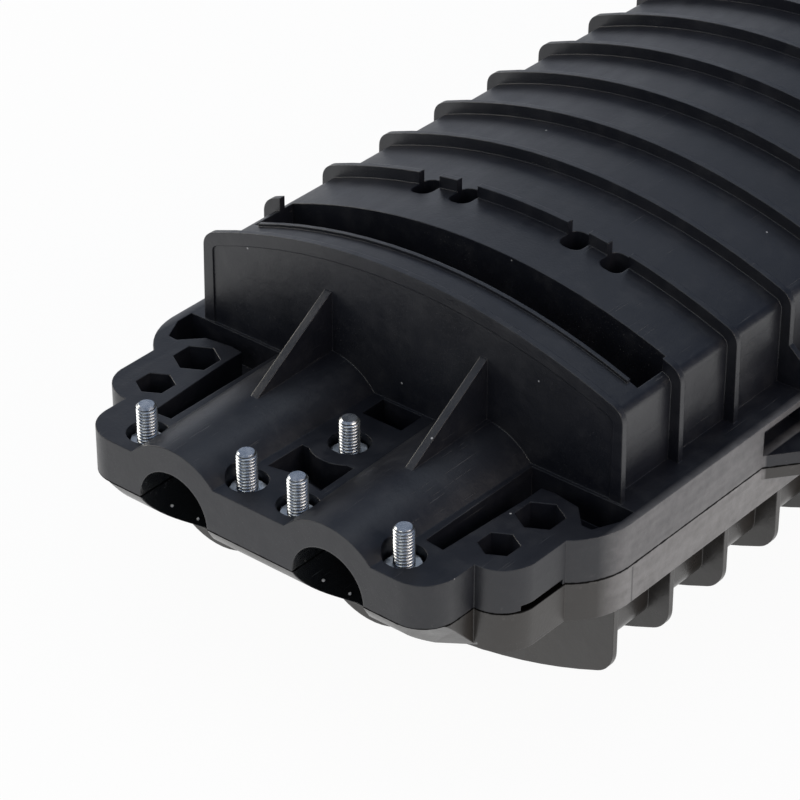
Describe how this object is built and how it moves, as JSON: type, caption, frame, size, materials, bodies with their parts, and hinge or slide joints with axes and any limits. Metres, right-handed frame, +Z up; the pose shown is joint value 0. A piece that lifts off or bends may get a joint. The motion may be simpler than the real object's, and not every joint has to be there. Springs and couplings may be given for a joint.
{
  "type": "outdoor fibre splice box",
  "caption": "Weatherproof inline splice box: two ribbed arched shells bolted on a rubber seal, paired cable ports at each end, hinged splice trays inside.",
  "frame": {"origin": "middle of the box in plan, on the flat rib crowns that it stands on", "axes": "+X along the box, away from the end in the picture's foreground; +Y across it; +Z up, from the lower shell to the upper one"},
  "size_m": [0.418, 0.193, 0.114],
  "materials": {
    "upper_plastic": "satin moulded",
    "lower_plastic": "satin moulded",
    "seal_rubber": "soft",
    "zinc_steel": "zinc plated",
    "sheet_steel": "galvanised",
    "brass": "turned",
    "tray_plastic": "moulded",
    "holder_plastic": "soft moulded",
    "lid_plastic": "clear"
  },
  "bodies": {
    "base": {"lower_shell": "lower_plastic", "seal_left": "seal_rubber", "seal_right": "seal_rubber", "end_seals": "seal_rubber", "end_studs": "zinc_steel", "side_bolts": "zinc_steel", "support_frame": "sheet_steel", "frame_screws": "zinc_steel", "cable_saddles": "lower_plastic", "cable_straps": "sheet_steel", "strap_screws": "zinc_steel", "core_clamps": "brass", "core_screws": "zinc_steel", "tray_stand": "sheet_steel", "stand_screws": "zinc_steel", "hinge_pins": "zinc_steel", "tray_rests": "seal_rubber"},
    "cover": {"upper_shell": "upper_plastic", "end_nuts": "zinc_steel", "side_nuts": "zinc_steel"},
    "tray_1": {"splice_tray_1": "tray_plastic", "splice_holder_1": "holder_plastic"},
    "tray_2": {"splice_tray_2": "tray_plastic", "splice_holder_2": "holder_plastic"},
    "tray_3": {"splice_tray_3": "tray_plastic", "splice_holder_3": "holder_plastic"},
    "lid": {"tray_lid": "lid_plastic"}
  },
  "joints": [
    {"name": "cover_lift", "type": "slide", "parent": "base", "child": "cover", "axis": [0, 0, 1], "range_m": [0, 0.24]},
    {"name": "tray_1_hinge", "type": "hinge", "parent": "base", "child": "tray_1", "pos_m": [-0.07, 0, 0.045], "axis": [0, -1, 0], "range_deg": [0, 75]},
    {"name": "tray_2_hinge", "type": "hinge", "parent": "base", "child": "tray_2", "pos_m": [-0.079, 0, 0.056], "axis": [0, -1, 0], "range_deg": [0, 75]},
    {"name": "tray_3_hinge", "type": "hinge", "parent": "base", "child": "tray_3", "pos_m": [-0.088, 0, 0.067], "axis": [0, -1, 0], "range_deg": [0, 75]},
    {"name": "lid_hinge", "type": "hinge", "parent": "base", "child": "lid", "pos_m": [-0.097, 0, 0.078], "axis": [0, -1, 0], "range_deg": [0, 75]}
  ],
  "couplings": [
    {"joint": "tray_1_hinge", "follows": "cover_lift", "rad_per_m": 5.45},
    {"joint": "tray_2_hinge", "follows": "cover_lift", "rad_per_m": 5.45},
    {"joint": "tray_3_hinge", "follows": "cover_lift", "rad_per_m": 5.45},
    {"joint": "lid_hinge", "follows": "cover_lift", "rad_per_m": 5.45}
  ]
}
